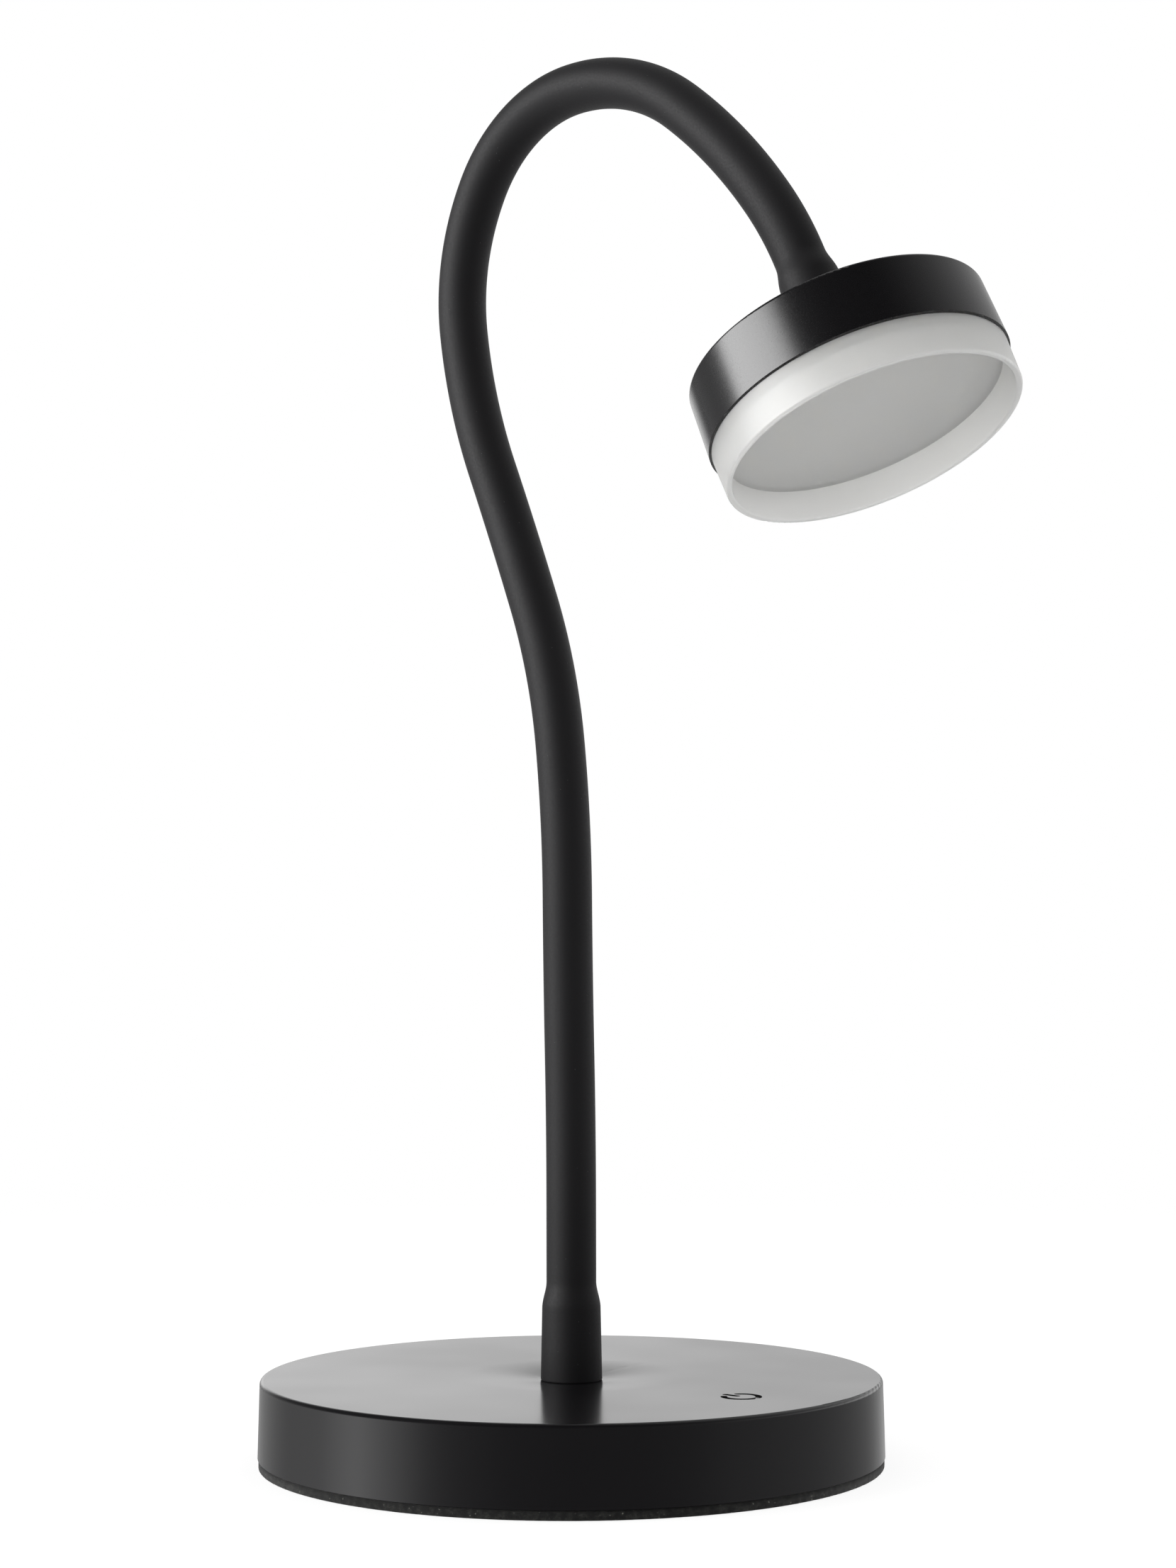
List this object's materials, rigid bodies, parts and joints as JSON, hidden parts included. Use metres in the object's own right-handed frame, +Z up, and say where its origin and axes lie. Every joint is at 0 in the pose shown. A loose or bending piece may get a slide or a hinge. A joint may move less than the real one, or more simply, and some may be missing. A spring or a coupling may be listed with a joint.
{
  "type": "gooseneck desk lamp",
  "caption": "Small rechargeable desk lamp: flat round weighted base with a touch switch, sleeved gooseneck arching over to a flat round head with a frosted, hollow diffuser.",
  "frame": {"origin": "centre of the foot pad's flat underside", "axes": "+Z up; -Y towards the front, where the head hangs and the touch switch lies; +X the lamp's left"},
  "size_m": [0.15, 0.1979, 0.3385],
  "materials": {
    "shell": "satin",
    "pad": "matt, felt-like",
    "steel": "zinc plated",
    "ballast": "bare, oiled",
    "board": "solder mask, green",
    "led_board": "white solder mask",
    "component": "matt",
    "plug": "matt",
    "foam_tape": "foam",
    "cell": "foil pouch",
    "copper": "bare foil",
    "lead": "PVC insulation",
    "sleeve": "matt silicone",
    "core": "wound wire",
    "fitting": "nickel plated",
    "cap": "satin black",
    "diffuser": "frosted, translucent",
    "chip": "phosphor"
  },
  "bodies": {
    "base": {"base_shell": "shell", "base_plate": "steel", "foot_pad": "pad", "ballast": "ballast", "plate_screws": "steel", "control_board": "board", "board_screws": "steel", "charging_socket": "steel", "board_components": "component", "board_plugs": "plug", "battery_tape": "foam_tape", "battery_cell": "cell", "touch_electrode": "copper", "battery_lead": "lead", "touch_lead": "lead", "lower_fitting": "fitting", "lower_washer": "steel", "lower_nut": "steel", "neck_sleeve_foot": "sleeve", "neck_core_foot": "core", "neck_lead": "lead"},
    "neck_link_01": {"neck_sleeve_01": "sleeve", "neck_core_01": "core"},
    "neck_link_02": {"neck_sleeve_02": "sleeve", "neck_core_02": "core"},
    "neck_link_03": {"neck_sleeve_03": "sleeve", "neck_core_03": "core"},
    "neck_link_04": {"neck_sleeve_04": "sleeve", "neck_core_04": "core"},
    "neck_link_05": {"neck_sleeve_05": "sleeve", "neck_core_05": "core"},
    "neck_link_06": {"neck_sleeve_06": "sleeve", "neck_core_06": "core"},
    "neck_link_07": {"neck_sleeve_07": "sleeve", "neck_core_07": "core"},
    "neck_link_08": {"neck_sleeve_08": "sleeve", "neck_core_08": "core"},
    "neck_link_09": {"neck_sleeve_09": "sleeve", "neck_core_09": "core"},
    "neck_link_10": {"neck_sleeve_10": "sleeve", "neck_core_10": "core"},
    "head": {"neck_sleeve_head": "sleeve", "neck_core_head": "core", "upper_fitting": "fitting", "upper_washer": "steel", "upper_nut": "steel", "head_cap": "cap", "led_board": "led_board", "led_chips": "chip", "led_screws": "steel", "head_plug": "plug", "diffuser": "diffuser"}
  },
  "joints": [
    {"name": "neck_bend_01", "type": "hinge", "parent": "base", "child": "neck_link_01", "pos_m": [0, 0, 0.0615], "axis": [1, 0, 0], "range_deg": [-45, 45], "deforming": ["neck_lead"]},
    {"name": "neck_bend_02", "type": "hinge", "parent": "neck_link_01", "child": "neck_link_02", "pos_m": [0, 0.00048, 0.0985], "axis": [0, -0.9997, 0.0262], "range_deg": [-45, 45], "deforming": ["neck_lead"]},
    {"name": "neck_bend_03", "type": "hinge", "parent": "neck_link_02", "child": "neck_link_03", "pos_m": [0, 0.00113, 0.13549], "axis": [-1, 0, 0], "range_deg": [-45, 45], "deforming": ["neck_lead"]},
    {"name": "neck_bend_04", "type": "hinge", "parent": "neck_link_03", "child": "neck_link_04", "pos_m": [0, 0.00339, 0.1724], "axis": [0, 0.9936, -0.1132], "range_deg": [-45, 45], "deforming": ["neck_lead"]},
    {"name": "neck_bend_05", "type": "hinge", "parent": "neck_link_04", "child": "neck_link_05", "pos_m": [0, 0.01225, 0.20822], "axis": [1, 0, 0], "range_deg": [-45, 45], "deforming": ["neck_lead"]},
    {"name": "neck_bend_06", "type": "hinge", "parent": "neck_link_05", "child": "neck_link_06", "pos_m": [0, 0.02629, 0.24245], "axis": [0, -0.9184, 0.3955], "range_deg": [-45, 45], "deforming": ["neck_lead"]},
    {"name": "neck_bend_07", "type": "hinge", "parent": "neck_link_06", "child": "neck_link_07", "pos_m": [0, 0.03615, 0.278], "axis": [-1, 0, 0], "range_deg": [-25, 45], "deforming": ["neck_lead"]},
    {"name": "neck_bend_08", "type": "hinge", "parent": "neck_link_07", "child": "neck_link_08", "pos_m": [0, 0.02924, 0.31368], "axis": [0, 0.8695, 0.4939], "range_deg": [-45, 45], "deforming": ["neck_lead"]},
    {"name": "neck_bend_09", "type": "hinge", "parent": "neck_link_08", "child": "neck_link_09", "pos_m": [0, -0.00098, 0.33221], "axis": [1, 0, 0], "range_deg": [-45, 15], "deforming": ["neck_lead"]},
    {"name": "neck_bend_10", "type": "hinge", "parent": "neck_link_09", "child": "neck_link_10", "pos_m": [0, -0.0355, 0.32119], "axis": [0, 0.6157, -0.788], "range_deg": [-45, 45], "deforming": ["neck_lead"]},
    {"name": "neck_bend_11", "type": "hinge", "parent": "neck_link_10", "child": "head", "pos_m": [0, -0.06133, 0.29486], "axis": [-1, 0, 0], "range_deg": [-45, 45], "deforming": ["neck_lead"]}
  ]
}
